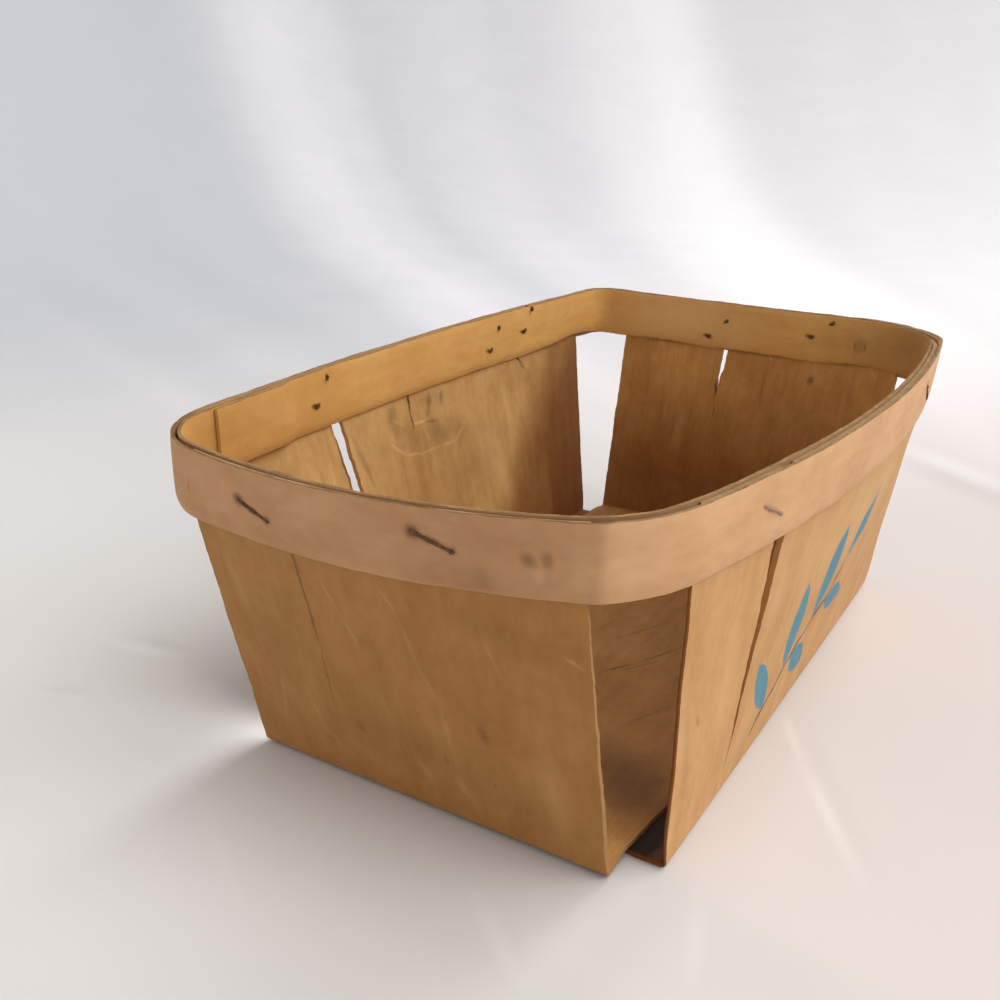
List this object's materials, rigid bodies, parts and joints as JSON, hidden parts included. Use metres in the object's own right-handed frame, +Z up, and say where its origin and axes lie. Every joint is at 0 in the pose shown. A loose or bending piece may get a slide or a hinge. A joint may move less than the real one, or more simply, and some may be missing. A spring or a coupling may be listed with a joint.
{
  "type": "berry basket",
  "caption": "Open rectangular berry basket of thin sliced wood, with crossed splints folded up as floor and flared walls, held by stapled inner and outer rim bands.",
  "frame": {"origin": "on the surface that the basket stands on, under the middle of the box that holds it", "axes": "+X across the basket towards the painted wall, +Y along its length towards the far end wall, +Z up"},
  "size_m": [0.1864, 0.2816, 0.1095],
  "materials": {
    "golden_wood": "bare sliced wood, golden brown, fine long grain",
    "pale_wood": "bare sliced wood, pale tan, fine upright grain",
    "band_wood": "bare sliced wood, greyish tan to pinkish tan, grain along the band",
    "rusty_wire": "thin steel wire, dark and rusted"
  },
  "bodies": {
    "root": {"lengthwise_splint": "golden_wood", "crosswise_splint": "pale_wood", "outer_rim_band": "band_wood", "inner_rim_band": "band_wood", "rim_staple_1": "rusty_wire", "rim_staple_2": "rusty_wire", "rim_staple_3": "rusty_wire", "rim_staple_4": "rusty_wire", "rim_staple_5": "rusty_wire", "rim_staple_6": "rusty_wire", "rim_staple_7": "rusty_wire", "rim_staple_8": "rusty_wire", "rim_staple_9": "rusty_wire"}
  },
  "joints": []
}
